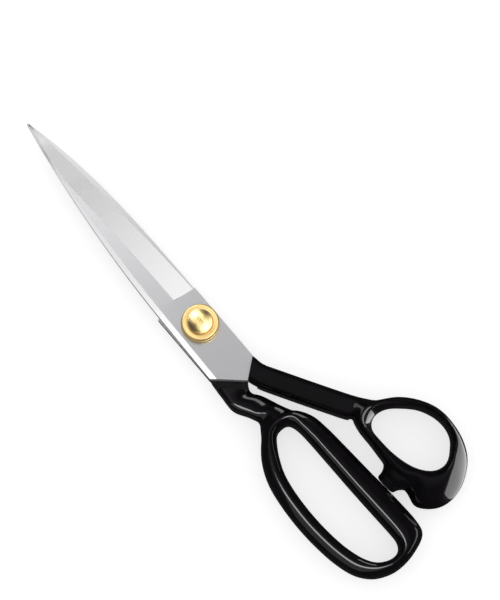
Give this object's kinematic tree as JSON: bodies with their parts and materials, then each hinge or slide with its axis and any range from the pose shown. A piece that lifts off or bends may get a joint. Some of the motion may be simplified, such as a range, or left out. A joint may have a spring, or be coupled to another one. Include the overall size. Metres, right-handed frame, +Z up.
{
  "type": "fabric shears",
  "caption": "Tailor's shears with two steel blades, enamelled handles with a finger bow and a thumb ring, and a brass pivot nut.",
  "frame": {"origin": "on the pivot axis, at the flat underside of the pivot bolt's head, in the plane that the shears rest on", "axes": "+X from the pivot to the blade tips along the closed shears, +Y towards the finger bow, +Z up along the pivot axis, towards the nut and cap"},
  "size_m": [0.2512, 0.0795, 0.0189],
  "materials": {
    "steel": "ground and polished",
    "enamel": "gloss baked enamel",
    "brass": "turned and polished",
    "spring_steel": "satin",
    "nylon": "matte"
  },
  "bodies": {
    "finger_half": {"finger_blade": "steel", "finger_handle": "enamel", "pivot_bolt": "brass", "blade_washer": "nylon", "base_washer": "brass", "spring_washer": "spring_steel"},
    "thumb_half": {"thumb_blade": "steel", "thumb_handle": "enamel"},
    "tension_nut": {"tension_nut": "brass"},
    "lock_cap": {"lock_cap": "brass"}
  },
  "joints": [
    {"name": "pivot", "type": "hinge", "parent": "finger_half", "child": "thumb_half", "pos_m": [0, 0, 0.008], "axis": [0, 0, 1], "range_deg": [0, 128]},
    {"name": "tension_nut_turn", "type": "hinge", "parent": "finger_half", "child": "tension_nut", "pos_m": [0, 0, 0.0147], "axis": [0, 0, 1], "range_deg": [-90, 90]},
    {"name": "lock_cap_turn", "type": "hinge", "parent": "finger_half", "child": "lock_cap", "pos_m": [0, 0, 0.017], "axis": [0, 0, 1], "range_deg": [-90, 90]}
  ]
}
